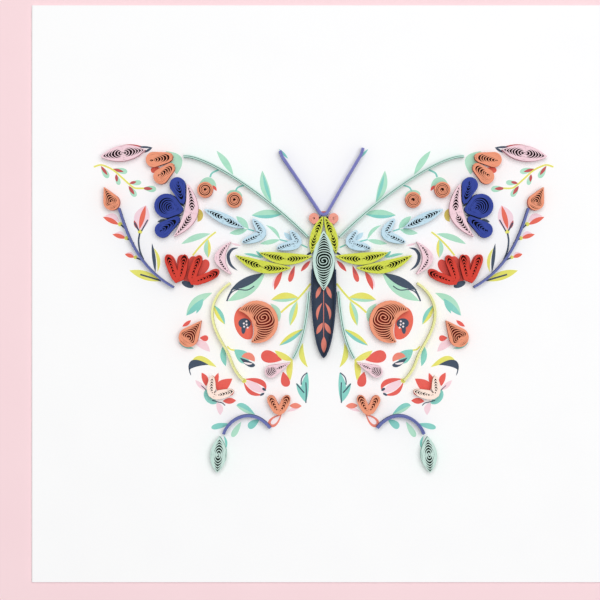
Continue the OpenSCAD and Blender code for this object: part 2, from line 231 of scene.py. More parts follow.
def ink_finish(name, tone, deep_tone):
    """Flat ink that pools a little, over the fibre of the card."""
    wash_scale = 260
    finish, start, shader = new_finish(name)
    place = start.node("ShaderNodeTexCoord", out="Object")
    wash = noise(start, place, wash_scale)
    tooth = noise(start, place, card_fibre_scale, card_fibre_detail)
    pooled = wash * 1.5 - 0.25 + (tooth - 0.5) * 0.5
    pooled.mixed(colour(tone), colour(deep_tone)).into(shader, "Base Color")
    (0.55 + tooth * 0.2).into(shader, "Roughness")
    raise_fibre(start, shader, tooth, card_bump)
    return finish


def print_ink(name, level, tones, leaves=(), stalks=(), dots=(), whole=()):
    """Prints one ink on both wings, and the whole fields that cross the axis. The film reaches
    a little into the card, and marks that may cross lie on levels of their own."""
    fields = [leaf_edges(*leaf) for leaf in leaves]
    fields += [stalk_edges(*stalk) for stalk in stalks]
    for (x, y), radius in dots:
        fields.append(leaf_edges((x - radius, y), (x + radius, y), radius, radius, "oval"))
    laid = []
    marks = [(field, (1, -1)) for field in fields] + [(field, (1,)) for field in whole]
    for number, (edges, sides) in enumerate(marks):
        z = card_top - film + number % mark_levels * mark_step
        for side in sides:
            laid.append(ribbon([[(axis_x + side * p.x, p.y, z) for p in pair] for pair in edges]))
    inked = joined(laid, "printed_" + name)
    bpy.ops.object.mode_set(mode="EDIT")
    bpy.ops.mesh.select_all(action="SELECT")
    bpy.ops.mesh.remove_doubles(threshold=weld)
    height = 2 * film + level * film_step
    bpy.ops.mesh.extrude_region_move(TRANSFORM_OT_translate={"value": (0, 0, height)})
    bpy.ops.mesh.select_all(action="SELECT")
    bpy.ops.mesh.normals_make_consistent(inside=False)
    bpy.ops.object.mode_set(mode="OBJECT")
    inked.data.materials.append(ink_finish(name + "_ink", *tones))
    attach(inked, "root")


print_ink(
    "pale_pink",
    0,
    ("f6dae2", "f0ccd7"),
    leaves=[
        ((104, 216), (119, 222), 6, 0),
        ((114, 233.6), (125, 236.5), 4, 0),
        ((125, 253.6), (134, 256.5), 3.5, 0),
        ((139.3, 231), (145.6, 205), 9, 6.5),
        ((231, 243), (241, 245.4), 0.8, 1.4),
        ((280.5, 273), (272.6, 288), 0, 3.4),
        ((192.5, 341), (209.8, 351.8), 6, 2),
        ((287.2, 411.8), (300, 408), 2.2, 1.2),
        ((206.2, 390.4), (195, 380.4), 2.8, 2),
        ((216.4, 402.6), (220, 415.4), 4.8, 1.6),
        ((244.6, 380.8), (264.8, 392.8), 3.8, 4.4),
    ],
)
print_ink(
    "pale_blue",
    1,
    ("c9e3ee", "bcdcea"),
    leaves=[((291.5, 240), (283.9, 232.2), 2.4, 2.4)],
)
print_ink(
    "mint",
    2,
    ("b6e4cc", "9fd9bd"),
    leaves=[
        ((165.5, 150.8), (176.5, 174.2), 11.5, 2),
        ((100.4, 165.7), (107.8, 177.6), 3, 3, "petal"),
        ((112.4, 168.6), (126.8, 171.7), 3, 3, "petal"),
        ((115.7, 173.9), (118.6, 184.6), 2.4, 2.4, "petal"),
        ((129, 183.1), (140.8, 182), 2.6, 2.6, "petal"),
        ((128.1, 185.6), (135.4, 196.2), 3, 3, "petal"),
        ((142.2, 188), (155.8, 188.9), 3.2, 3.2, "petal"),
        ((198.5, 186), (216, 188.4), 10.4, 1, "oval"),
        ((226.5, 194.5), (242, 196.5), 6, 0, "oval"),
        ((233, 174.4), (216.4, 150.4), 2.5, 4),
        ((271.5, 202.4), (262.2, 170.2), 6.5, 2),
        ((283, 213.4), (251.4, 215), 3.6, 4.8),
        ((248.5, 228.9), (235.9, 216), 2.5, 4),
        ((247.5, 229), (229.2, 233), 3.6, 2.2),
        ((279.9, 239.4), (265.9, 225), -0.6, 4.2),
        ((279.9, 239.6), (260, 243.6), 2.6, 2.2),
        ((210.4, 233.6), (181, 243.9), 1.6, 4.6),
        ((207.8, 238.6), (207.8, 257.8), 0, 4.2),
        ((264.7, 273.4), (227.5, 301), 8.5, 2.5),
        ((212, 292.8), (186, 315.4), 0.5, 8),
        ((270.4, 303.4), (279, 322), 6, 0),
        ((298.9, 297.8), (271, 299.9), 3, 0),
        ((297.2, 301), (290, 325.8), 0, 4),
        ((254.9, 414.9), (236.2, 405.8), 2.4, 1),
        ((241.1, 422), (231.8, 437.2), 3, 3, "petal"),
        ((224.6, 350), (225.6, 365.6), 1.2, 0.8),
    ],
)
print_ink(
    "teal",
    3,
    ("8bd3c8", "74c6bb"),
    leaves=[
        ((271, 201), (263, 174), 2.2, 1),
        ((283, 213.4), (251.4, 215), 4, -0.6),
        ((262, 258), (243.5, 253.6), 0.6, 2.2),
        ((263, 257.5), (256, 250.8), 1.6, 1.4),
        ((203.5, 298.5), (186, 315.6), 3.4, 2.5),
        ((203, 299), (196, 313.5), 2, 1.8),
        ((178.5, 342.5), (194, 348.4), 0, 3),
        ((223, 346), (225.6, 366.4), 1.8, 4.2),
        ((213.4, 305), (224.6, 324.4), 3.8, 0),
        ((233.8, 349.6), (247.5, 362), 6.8, 5.4, "petal"),
        ((303, 329.3), (279.2, 345.6), 3.4, 0),
        ((307.6, 372.6), (305.9, 403.4), 2, 5.6),
        ((305.5, 402.4), (296.3, 383.2), 2.4, 3.4),
        ((205.6, 389.8), (216.6, 403.4), 1, 6.8, "oval"),
        ((254.9, 414.9), (236.2, 405.8), -0.5, 5.2, "petal"),
        ((229.6, 424), (211.2, 428.3), 2.6, 3.2, "petal"),
        ((259.4, 419.6), (248.6, 428.6), 3, 4.4, "petal"),
        ((223.4, 436), (226, 448.6), 2.4, 0),
        ((279, 148.6), (288.2, 158.4), 1.2, 1.2),
    ],
    stalks=[
        ([(209.8, 176.8), (212, 172.6), (218.4, 169.4)], 1.8),
        ([(235.4, 190.6), (238, 187), (245, 184.6)], 1.6),
        ([(247.5, 228.8), (254.2, 230.9)], 1.4),
        ([(279.5, 239.4), (288.5, 241.6)], 1.4),
        ([(301.5, 244.6), (307.6, 247.4)], 1.4),
    ],
)
print_ink(
    "ochre",
    4,
    ("d2c05a", "c7b348"),
    leaves=[((197.5, 208.5), (197.2, 221.5), 5.5, 0, "oval")],
)
print_ink(
    "vermilion",
    4.5,
    ("ea6a52", "e25b47"),
    leaves=[
        ((159.5, 167.4), (150.5, 170.8), 3, 3, "petal"),
        ((102.4, 216.7), (118.6, 224.5), 2.6, 2.2),
        ((112, 234.1), (125.7, 238.2), 2.4, 2),
        ((124.4, 254), (133.9, 257.3), 2.2, 1.8),
        ((139, 229), (145.1, 205.5), 2.6, 2.4),
        ((241.5, 306.8), (250, 339.4), 6, 11.5, "oval"),
    ],
)
print_ink(
    "scarlet",
    5.5,
    ("dc4a3c", "cf3f34"),
    leaves=[
        ((178, 275), (167.5, 254.5), 2.6, 4.4, "petal"),
        ((181, 276), (181.5, 254.5), 4.8, 4.2, "petal"),
        ((191, 276), (193.6, 256), 5, 5, "petal"),
        ((196, 279), (207, 259.6), 4.4, 5.4, "petal"),
        ((189, 284), (188, 258), 5, 5),
        ((186, 283), (180, 262), 4, 4),
        ((194, 284), (204, 268), 4, 4),
        ((198, 284), (219, 270), 4.6, 4.6, "petal"),
    ],
)
print_ink(
    "deep_red",
    5.8,
    ("c24c4e", "b54348"),
    leaves=[
        ((121, 144.9), (145, 147.2), 2, 0.3),
        ((100.4, 165.7), (107, 174.8), 1.5, 1.5),
        ((112.4, 168.6), (123.2, 171.5), 1.5, 1.5),
        ((115.7, 173.9), (116.5, 181.6), 1.5, 1.5),
        ((129, 183.1), (136, 181.4), 1.4, 1.4),
        ((128.1, 185.6), (133.9, 194.3), 1.7, 1.7),
        ((142.2, 188), (152.4, 188.5), 1.7, 1.7),
        ((138, 229.5), (133.6, 220), 2, 1),
        ((310.5, 260.4), (301.6, 270.6), 0.2, 1.8),
        ((294.4, 265.6), (290.4, 275), 1.8, 0.4),
    ],
)
print_ink(
    "red",
    5,
    ("e65c50", "dc4f46"),
    leaves=[
        ((212.4, 185), (216.4, 190.6), 1.6, 1.2),
        ((282.3, 271), (274.3, 290), 1.8, 3.4),
        ((294.7, 265.4), (289.4, 281.8), 2.6, 2.6, "petal"),
        ((310.5, 260.4), (300.8, 271.4), 2, 2.2),
        ((182, 326.6), (190.8, 320.2), 1.6, 2.2),
        ((199.5, 338), (208, 338.5), 3, 3, "petal"),
        ((243.9, 379.3), (265.6, 390.4), 7.6, -2.4, "petal"),
        ((243.6, 381.4), (263.6, 394.9), -3.2, 7.4),
        ((261, 354.8), (282, 360.2), 6.2, 6.2, "drop"),
        ((283, 371.8), (287.4, 386.8), 4, 5, "petal"),
        ((205.8, 386.4), (201.4, 372.8), 1.7, 4.4),
        ((215.6, 388), (218.2, 373), 3.6, 1.4),
        ((217.8, 391.6), (232.2, 378.8), 7, 4.4, "drop"),
        ((229.2, 396), (234, 390.8), 1.6, 1.6),
        ((222.6, 401.4), (236, 400.8), 3, 3),
        ((319, 212.6), (328.4, 212.6), 1.6, 1.6, "oval"),
    ],
)
print_ink(
    "lime",
    6,
    ("e8e574", "dfdb55"),
    leaves=[
        ((157, 272), (153.5, 248), -1.2, 4.6),
        ((160.5, 281), (129, 270.4), 4, 4.6),
        ((207.8, 238.6), (207.8, 257.8), 2.8, 0),
        ((213.4, 305), (224.6, 324.4), 0, 3.4),
        ((216.4, 367.4), (191, 364), -1.5, 9.2, "petal"),
        ((298.9, 297.8), (271, 299.9), 0, 6.4),
        ((297.2, 301), (290, 325.8), 3.4, 0),
        ((303, 329.3), (279.2, 345.6), 0, 3.6),
        ((303, 343), (307.9, 367.6), -1, 6.4),
        ((274.6, 350.6), (293, 360.6), 2, 4.2),
        ((292.6, 359.8), (290.4, 380.6), 1, 5.2),
    ],
    stalks=[
        (
            [
                (93.3, 166.5), (100, 164.6), (106.6, 166.5), (114, 170.6), (121.5, 177.3),
                (129.8, 184.7), (134.8, 187.8), (143.5, 188),
            ],
            1.7,
        ),
        ([(215.6, 231.8), (209, 237), (200, 246), (192.4, 255.3)], 1.7),
        ([(227, 346.4), (230.2, 349.4), (234.4, 350.4)], 1.5),
        ([(280.8, 312.6), (288.7, 305.5), (296.2, 300.3), (304, 292), (310.6, 283.6)], 1.9),
    ],
    dots=[
        ((119.6, 224), 2.2),
        ((126, 238), 2),
        ((135, 257.2), 1.8),
        ((139.6, 231.6), 2.2),
        ((243.9, 380.9), 2.4),
    ],
)
abdomen_px = [(312.2, 269.5), (310.9, 312), (315.2, 349), (323.7, 357.2)]
abdomen_top_px = (312.4, 262)


def cubic(points, steps):
    """A curve from the first point to the last, drawn towards the two between."""
    a, b, c, d = points
    shares = [i / steps for i in range(steps + 1)]
    return [
        a * (1 - t) ** 3 + 3 * b * t * (1 - t) ** 2 + 3 * c * t**2 * (1 - t) + d * t**3 for t in shares
    ]


abdomen_side = [laid_out(abdomen_top_px)] + cubic([laid_out(p) for p in abdomen_px], 24)
print_ink(
    "navy",
    7,
    ("33475f", "2a3c54"),
    leaves=[
        ((137, 146.6), (152, 147.2), 1.2, 0.8),
        ((152, 147), (143.8, 152.4), 1.2, 1.2),
        ((155, 272.5), (151.6, 243.2), 1.5, 2),
        ((157, 221.8), (166, 219.6), 1.8, 1.5),
        ((169.5, 193.5), (184.5, 206.6), 2, 2),
        ((165, 219), (182, 214.6), 2, 2),
        ((181.6, 282), (193.2, 286.8), 3, 3, "oval"),
        ((262.8, 273.4), (230.4, 290), 4, 4.4),
        ((208.4, 365), (188.8, 371.2), -2, 9.4, "petal"),
        ((239.7, 357.8), (255, 365.6), 1.3, 4, "petal"),
        ((262.2, 388.4), (265.8, 390.8), 1.3, 1.3, "oval"),
        ((259.8, 395.7), (264.2, 393.5), 1.1, 1.1, "oval"),
        ((238.2, 323.2), (250.6, 323.8), 5.2, 4.8, "oval"),
        ((243.8, 324), (243, 334), 2.2, 2.2, "oval"),
    ],
    stalks=[
        ([(120.6, 224.6), (127, 231), (131.5, 241)], 1.5),
        ([(127, 238.6), (130.5, 240.4), (133.5, 243.5)], 1.5),
        ([(136, 257.8), (141.4, 260)], 1.4),
        ([(134, 222.5), (138.5, 230.5)], 1.5),
        ([(147.4, 219.5), (141, 231)], 1.3),
        ([(139.3, 233), (138.2, 241), (139.6, 251), (143, 259.5)], 1.7),
        ([(139.8, 274.4), (150, 277.4), (160.5, 280.6)], 1.6),
        ([(262.8, 273.5), (250, 277), (240.3, 281.2), (233.5, 287.5), (229, 295), (226.6, 301.2)], 1.5),
        ([(226.9, 300.5), (231, 293), (237.2, 289.6), (245.4, 290.1), (249.5, 289.1), (254.1, 286)], 1),
        ([(307.1, 372.9), (303.1, 376.3), (301.3, 380.4), (301.3, 384.9)], 1.1),
        ([(296.5, 383.8), (299.6, 387.8), (304.2, 393)], 1.2),
        ([(305.9, 382.6), (306.3, 392.4), (305.9, 403.2)], 1.1),
        ([(212, 400.6), (217.9, 402.3), (222.3, 403.4), (224.9, 405.8)], 0.9),
        ([(201, 385.8), (204, 388.4), (206, 390.4)], 0.7),
        ([(188.9, 368), (189.5, 372), (190.8, 375.8)], 1, 1),
        ([(238.2, 247.6), (232, 249.2), (228.4, 254), (228.4, 259.4), (231, 265.4), (237.4, 270.6)], 3.2, 1),
    ],
)
# Painted shade: two small painted shadows, at the foot of the antennae and by the lime leaves' inner tips,
# and the abdomen's navy printed field painted darker for the shade of its walls.
print_ink(
    "navy_painted_shade",
    7.5,
    ("19334f", "112540"),
    leaves=[((322.5, 217), (317.8, 218.8), 1.6, 1.6), ((312.6, 252), (306.4, 254.8), 1, 1.2)],
    whole=[[(p, Vector((-p.x, p.y))) for p in abdomen_side]],
)
print_ink(
    "coral",
    8,
    ("ee8a76", "e67d6b"),
    leaves=[
        ((241.4, 357), (254.4, 361.8), 6.8, 0, "oval"),
        ((289.4, 406), (301.6, 406.4), 3, 2.6),
        ((281.6, 414.4), (269, 426.4), 4.6, 4.6, "petal"),
        ((321.4, 285.4), (316, 298.4), 1.8, 2.2),
        ((322.3, 303), (317.6, 320), -0.6, 3.6),
        ((322.8, 322.6), (316.6, 334.3), 2.2, 2.4),
    ],
    whole=[
        leaf_edges((323.9, 336.4), (323.9, 353), 2.7, 2.7),
        stalk_edges([(323.7, 289), (323.7, 337)], 0.6),
    ],
)
seed_px = 0.95
seeds_px = [(246.3, 321.4), (243.7, 323.5), (246.5, 324.7), (244, 326.7), (247.5, 327.7)]
print_ink(
    "white",
    9,
    ("fbf3f4", "f6e6ea"),
    leaves=[
        ((243.2, 362.2), (252.6, 363.8), 0.2, 1.8),
        ((280, 416), (271.2, 424.2), 2.4, 2.4, "petal"),
    ],
    dots=[(place_px, seed_px) for place_px in seeds_px],
)


# Thorax: one mint paper strip, 3 mm wide, rolled up, let out a little and pinched at both ends.
# It stands on its edge and is glued to the card, so its turns show from above: they lie close
# along the sides and cross the middle as a comb between the round core and the two tips.
strip_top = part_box("thorax")[1].z
turn_steps = 52
thin_wall = 0.00021


def dyed_paper(name, edge, face, gap):
    """Paper dyed through, duller on its top edge than on its smooth face. The top edge is painted
    lighter, as lit from above, and the face darker, as painted shade. Inside a coil the walls that
    face a gap take the gap tone, a painted shade for the little light between the turns."""
    cut_low, cut_high = strip_top - 0.00018, strip_top - 0.00008
    fibre_scale, mottle_scale = 4200, 420
    face_shade, edge_light = 0.8, 1.05
    finish, start, shader = new_finish(name)
    place = start.node("ShaderNodeTexCoord", out="Object")
    # Painted light: near the top the colour turns to the lighter edge tone, a painted highlight on the top
    # edge, and below it the darker face tone is painted shade on the walls.
    height = start.node("ShaderNodeSeparateXYZ", None, {0: place}, "Z")
    rising = {"Value": height, "From Min": cut_low, "From Max": cut_high}
    lit_top_edge = start.node("ShaderNodeMapRange", None, rising)
    fibre = noise(start, place, fibre_scale, detail=3)
    mottle = noise(start, place, mottle_scale)
    deep = [share * face_shade for share in colour(face)[:3]] + [1]
    # Painted shade: where the inside attribute is one, a wall takes the dark gap tone for the shade deep
    # between the turns.
    inside = start.node("ShaderNodeAttribute", {"attribute_name": "inside"}, out="Fac")
    face_and_gap_shade = inside.mixed((fibre * 0.6 + mottle * 0.4).mixed(deep, colour(face)), colour(gap))
    pale = [min(1, share * edge_light) for share in colour(edge)[:3]] + [1]
    rim = (fibre * 0.7 + mottle * 0.3).mixed(colour(edge), pale)
    # The painted highlight of the top edge over the painted shade of the walls.
    lit_top_edge.mixed(face_and_gap_shade, rim).into(shader, "Base Color")
    (0.7 + fibre * 0.2 + lit_top_edge * 0.06).into(shader, "Roughness")
    raise_fibre(start, shader, fibre, strength=0.3)
    return finish


def wander(rand, count, size):
    """Values that drift slowly between nought and size, as a hand-held strip does."""
    stretch = 18
    marks = [rand.uniform(0, size) for _ in range(count // stretch + 2)]
    values = []
    for i in range(count):
        here, there = marks[i // stretch], marks[i // stretch + 1]
        values.append(here + (there - here) * (i % stretch) / stretch)
    return values


def clamped(value):
    return min(max(value, 0), 1)


def shade_sheet(outline, side):
    """A thin dark sheet under a coil, in the tone of its gaps: painted shade, so that no white
    card shows between the turns."""
    height = 0.00013
    z = card_top - film
    sides = zip(outline[: len(outline) // 2 + 1], outline[::-1])
    field = ribbon([[(axis_x + side * p.x, p.y, z) for p in pair] for pair in sides])
    bpy.ops.object.mode_set(mode="EDIT")
    bpy.ops.mesh.select_all(action="SELECT")
    bpy.ops.mesh.remove_doubles(threshold=weld)
    bpy.ops.mesh.extrude_region_move(TRANSFORM_OT_translate={"value": (0, 0, height)})
    bpy.ops.object.mode_set(mode="OBJECT")
    # The whole sheet takes the painted gap shade.
    deep = [1] * len(field.data.vertices)
    field.data.attributes.new("inside", "FLOAT", "POINT").data.foreach_set("value", deep)
    return field


def stand(node, routes, paper, slot, side=1, thick=0.00025, rolled=True, parting=0.00042):
    """Stands paper strips on edge along their routes, and puts them in place of the CAD node.
    A coil closes where its turns lie near each other, and opens where they part. The second
    turn stays behind the first, and a wall carries painted shade only where it faces a gap."""
    rand = random.Random(node)
    top_drop, top_slip = 0.00006, 0.00005
    opening = 0.00012
    closed_share = 0.88
    thinnest, widest = 0.00013, 0.00056
    lap = 0.00012
    gap_from, gap_over = 0.00018, 0.0001
    strips = []
    for route in routes:
        low = wander(rand, len(route), top_drop)
        lean = wander(rand, len(route), top_slip)
        columns = []
        for point, drop, slip in zip(route, low, lean):
            x = axis_x + side * point.x
            off = slip - top_slip / 2
            columns.append(((x, point.y, card_top), (x + off, point.y + off, strip_top - drop)))
        strip = ribbon(columns)
        outward = [(point - route[max(i - turn_steps, 0)]).length for i, point in enumerate(route)]
        group = strip.vertex_groups.new(name="thickness")
        # inside holds how much painted gap shade each wall takes, none on the first turn.
        inside = []
        for i, point in enumerate(route):
            next_turns = [route[j] for j in (i - turn_steps, i + turn_steps) if 0 <= j < len(route)]
            pitch = sum((point - other).length for other in next_turns) / max(1, len(next_turns))
            parted = clamped((pitch - parting) / opening) if rolled else 1
            width = thick * parted + max(pitch * closed_share, thinnest) * (1 - parted)
            if rolled and turn_steps < i < 2 * turn_steps:
                width = min(width, 2 * outward[i] + lap)
            group.add([i, i + len(route)], width / widest, "REPLACE")
            faces_gap = rolled and i > turn_steps
            inside.append(clamped((outward[i] - gap_from) / gap_over) if faces_gap else 0)
        strip.data.attributes.new("inside", "FLOAT", "POINT").data.foreach_set("value", inside * 2)
        strips.append(strip)
    paperwork = joined(strips, "quilled_" + node)
    wall = paperwork.modifiers.new("paper", "SOLIDIFY")
    wall.thickness = widest
    wall.offset = 0
    wall.vertex_group = "thickness"
    wall.thickness_vertex_group = 0
    bpy.ops.object.modifier_apply(modifier="paper")
    # Painted shade: a dark sheet under each coil fills the floor of its gaps.
    if rolled:
        shade_sheets = [shade_sheet(route[: turn_steps + 1], side) for route in routes]
        paperwork = joined([paperwork] + shade_sheets, "quilled_" + node)
    bpy.ops.object.mode_set(mode="EDIT")
    bpy.ops.mesh.select_all(action="SELECT")
    bpy.ops.mesh.normals_make_consistent(inside=False)
    bpy.ops.object.mode_set(mode="OBJECT")
    bpy.ops.object.shade_smooth_by_angle(angle=math.radians(40))
    paperwork.data.materials.append(paper)
    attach(paperwork, "root")
    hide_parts(node)


def pinched(name, turns, reach, onto, shape, room=0.4, waist=0.8, lean=0.0, shift=0.0):
    """Route of a coil pinched at both ends, from its outer end to its core. Its turns lie close
    along the sides, and each crosses the open room in the middle near its own two tips.
    The shape gives the coil's half width along its length, and onto lays it on the card."""
    rand = random.Random(name)
    unevenness = 0.12
    stray = [rand.uniform(-unevenness, unevenness) / turns for _ in range(turns + 2)]
    least = 0.03
    waist_half = 0.3
    core_turns, core_open = 4, 0.1
    route = []
    for i in range(turns * turn_steps + 1):
        turn = i / turn_steps
        within = max(0, turn - 1)
        share = within / (turns - 1)
        whole = int(turn)
        uneven = stray[whole] + (stray[whole + 1] - stray[whole]) * (turn - whole)
        length = min(1, max(1 - share * (1 - least) + uneven * min(1, within), least))
        angle = 2 * math.pi * turn
        x = length * math.cos(angle)
        passing = max((turns - 1) * (1 - abs(x)) / (1 - least), within, 0.01)
        outer = shape(x) * reach
        dip = max(0, 1 - abs(x) / waist_half)
        core = min(1, (turns - turn) / core_turns + core_open)
        open_half = outer * room * (1 - waist * dip**2) * core
        inner = open_half * math.sqrt(1 - abs(math.cos(angle)) ** 4)
        sign = math.copysign(1, math.sin(angle))
        packed = 1 - within / passing
        y = sign * outer * packed + (lean * outer + sign * inner) * (1 - packed)
        route.append(onto(x + shift * share * (1 - x * x), y))
    return route


def on_bow(p_px, q_px, left, right):
    """Lays a coil between two tips. Its middle line rises half-way between both bulges."""
    p, q = laid_out(p_px), laid_out(q_px)
    half = (q - p) / 2
    across = Vector((-half.y, half.x)).normalized()
    sag = (left - right) / 2 * pixel
    return lambda x, y: (p + q) / 2 + half * x + across * (y + sag * (1 - x * x))


def bow_route(name, p_px, q_px, left, right, turns, **ways):
    """Route of a coil between two tips, with its bulges to the left and right of the line."""
    reach = (left + right) / 2 * pixel
    onto = on_bow(p_px, q_px, left, right)
    return pinched(name, turns, reach, onto, lambda x: 1 - min(1, x * x), **ways)


# Each paper takes three tones: its top edge, painted lighter as lit; its face, painted darker as shaded; and
# the painted shade deep in its gaps.
mint_paper = dyed_paper("dyed_mint", "c4ded5", "8fc7b3", "16382f")
thorax_px = ((323.7, 231.5), (323.7, 290), 10.6, 10.6)
thorax = bow_route("thorax", *thorax_px, turns=12, room=0.8, waist=0)
stand("thorax", [thorax], mint_paper, "mint_paper", thick=thin_wall)


# Abdomen: a navy strip that stands on edge round the printed field, open where the thorax
# covers it. Three plies are glued face to face and bent to a point at the tail.
navy_paper = dyed_paper("dyed_navy", "22324a", "141f33", "0a101c")


def plies(path, count, pitch):
    """Paths of strips that lie side by side along one path."""
    return [beside(path, (i - (count - 1) / 2) * pitch) for i in range(count)]


abdomen_left = cubic([laid_out(p) for p in abdomen_px], 30)
abdomen_path = abdomen_left + [Vector((-p.x, p.y)) for p in abdomen_left[-2::-1]]
abdomen_plies = plies(abdomen_path, count=3, pitch=0.00015)
stand("abdomen", abdomen_plies, navy_paper, "navy_paper", thick=0.00014, rolled=False)


# Antennae: one lavender strip of four plies, bent into a V with a round foot on the head.
# The pair leans a little to one side.
antenna_px = [
    (282.2, 149.5),
    (284.2, 155.5),
    (287.4, 160.7),
    (303.6, 186.2),
    (318.9, 210.9),
    (320.8, 213.4),
    (323.7, 214.4),
]
ply_pitch, ply_wall = 0.0002, 0.00018
antenna_lean = math.radians(1.9)
violet_paper = dyed_paper("dyed_violet", "7b7dbd", "4a4f98", "23275a")
antenna_left = [laid_out(p) for p in antenna_px]
antenna_root = antenna_left[-1]
antenna_right = [Vector((-p.x, p.y)) for p in antenna_left[-2::-1]]
lean_cos, lean_sin = math.cos(antenna_lean), math.sin(antenna_lean)
antenna_path = []
for point in through(antenna_left + antenna_right, steps=6):
    rise = point - antenna_root
    leant = Vector((rise.x * lean_cos - rise.y * lean_sin, rise.x * lean_sin + rise.y * lean_cos))
    antenna_path.append(antenna_root + leant)
antenna_plies = plies(antenna_path, 4, ply_pitch)
stand("antennae", antenna_plies, violet_paper, "violet_paper", thick=ply_wall, rolled=False)


# Eyes: two small tight coils of rose paper, each pinched to a slight point at its foot.
# The first turns lie tight along the outside, and the last leave a dark hole at the core.
def drop_outline(centre_px, tip_px, radius_px, end_px=0.01):
    """Outline of a drop from its tip round: a circle, a small one at the tip, and their tangents."""
    centre, tip = laid_out(centre_px), laid_out(tip_px)
    way = tip - centre
    touch = math.acos((radius_px - end_px) * pixel / way.length)
    heading = math.atan2(way.y, way.x)
    tip_steps, round_steps = 6, 44
    arcs = (
        (tip, end_px, 0, touch, tip_steps),
        (centre, radius_px, touch, 2 * math.pi - touch, round_steps),
        (tip, end_px, -touch, 0, tip_steps),
    )
    outline = []
    for middle, radius, first, last, steps in arcs:
        for i in range(steps + 1):
            angle = heading + first + (last - first) * i / steps
            outline.append(middle + Vector((math.cos(angle), math.sin(angle))) * radius * pixel)
    return outline


def filled(name, outline, core_px, tight, loose, thick=0.00013, core=0.00016):
    """Route of a coil that fills an outline: the first turns lie tight along it, and the
    others share the room that is left down to the core."""
    rand = random.Random(name)
    middle = laid_out(core_px)
    steps = turn_steps
    turns = tight + loose
    unevenness = 0.2
    soft_passes, soft_bulge, soft_power = 9, 1.25, 1.5
    snug = 1.04

    def room(angle):
        """How far the outline is from the core."""
        way = Vector((math.cos(angle), math.sin(angle)))
        furthest = 0
        for a, b in zip(outline, outline[1:] + outline[:1]):
            edge = b - a
            cross = way.x * edge.y - way.y * edge.x
            if abs(cross) < 1e-12:
                continue
            from_core = a - middle
            along = (from_core.x * edge.y - from_core.y * edge.x) / cross
            share = (from_core.x * way.y - from_core.y * way.x) / cross
            if along > 0 and 0 <= share <= 1:
                furthest = max(furthest, along)
        return furthest

    tip_way = outline[0] - middle
    first = math.atan2(tip_way.y, tip_way.x)
    rooms = [room(first + 2 * math.pi * i / steps) for i in range(steps)]
    soft = rooms
    for _ in range(soft_passes):
        soft = [(soft[i - 1] + soft[i] + soft[(i + 1) % steps]) / 3 for i in range(steps)]
    uneven = [rand.uniform(-unevenness, unevenness) for _ in range(turns + 2)]
    route = []
    for i in range(turns * steps + 1):
        turn = i / steps
        angle = first + 2 * math.pi * turn
        rounding = min(1, turn / turns) ** soft_power
        sharp = rooms[i % steps]
        size = sharp * (1 - rounding) + min(soft[i % steps], sharp * soft_bulge) * rounding
        pitch = min(thick * snug, (size - core) / turns)
        if turn <= tight:
            reach = size - thick / 2 - turn * pitch
        else:
            whole = int(turn)
            stray = uneven[whole] + (uneven[whole + 1] - uneven[whole]) * (turn - whole)
            share = clamped((turn - tight + stray) / loose)
            reach = core + (size - thick / 2 - tight * pitch - core) * (1 - share)
        route.append(middle + Vector((math.cos(angle), math.sin(angle))) * reach)
    return route


rose_paper = dyed_paper("dyed_rose", "eb9c8a", "dd7363", "7a2a1f")
eye_px = ((313.8, 218.3), (313.2, 224.6), 5.31)
eye_core_px = (313.8, 218.2)
eyes = []
for wing, side in wings.items():
    route = filled("eye " + wing, drop_outline(*eye_px), eye_core_px, tight=6, loose=2)
    eyes.append([Vector((side * p.x, p.y)) for p in route])
stand("eyes", eyes, rose_paper, "rose_paper")


# Pink paper of the fore wing: a long bud pinched at both ends, the sepal under the blue
# flower and a thin crescent, each one strip rolled and pinched, then pressed to its curve.
pink_paper = dyed_paper("dyed_pale_pink", "eecdd6", "dfa9b9", "4a2230")
pink_bows_px = {
    "bud": ((101.6, 156.8), (145, 150), 7.6, 7.6),
    "sepal": ((187.6, 184.6), (174.5, 236.2), 17, -4),
    "crescent": ((230.7, 273.7), (230.7, 242.2), 15.8, -5.8),
}
pink_turns = {
    "bud": {"turns": 8, "room": 0.58},
    "sepal": {"turns": 10, "room": 0.54},
    "crescent": {"turns": 8, "room": 0.56, "waist": 0.4},
}
for wing, side in wings.items():
    for piece, bow_px in pink_bows_px.items():
        route = bow_route(f"{wing} {piece}", *bow_px, **pink_turns[piece])
        stand(f"{wing}_pink_{piece}", [route], pink_paper, "pale_pink_paper", side, thick=thin_wall)


# Coral paper of the fore wing: a bell of two drops, a pointed bud and two tight round buds.
# A drop is a coil pinched at one end only, with its core held near the round end.
def drop_route(name, centre_px, tip_px, radius_px, turns, **ways):
    """Route of a drop whose turns lie close on the round side and cross in arcs towards the tip."""
    centre, tip = laid_out(centre_px), laid_out(tip_px)
    reach = (tip - centre).length
    along = (tip - centre).normalized()
    across = Vector((-along.y, along.x))
    radius = radius_px * pixel
    touch = radius**2 / reach

    def from_centre(x):
        return (1 + x) / 2 * (reach + radius) - radius

    def half_width(x):
        place = from_centre(min(1, max(-1, x)))
        if place < touch:
            return math.sqrt(max(0, radius**2 - place**2))
        return math.sqrt(radius**2 - touch**2) * (reach - place) / (reach - touch)

    def onto(x, y):
        return centre + along * from_centre(x) + across * y

    return pinched(name, turns, 1, onto, half_width, **ways)


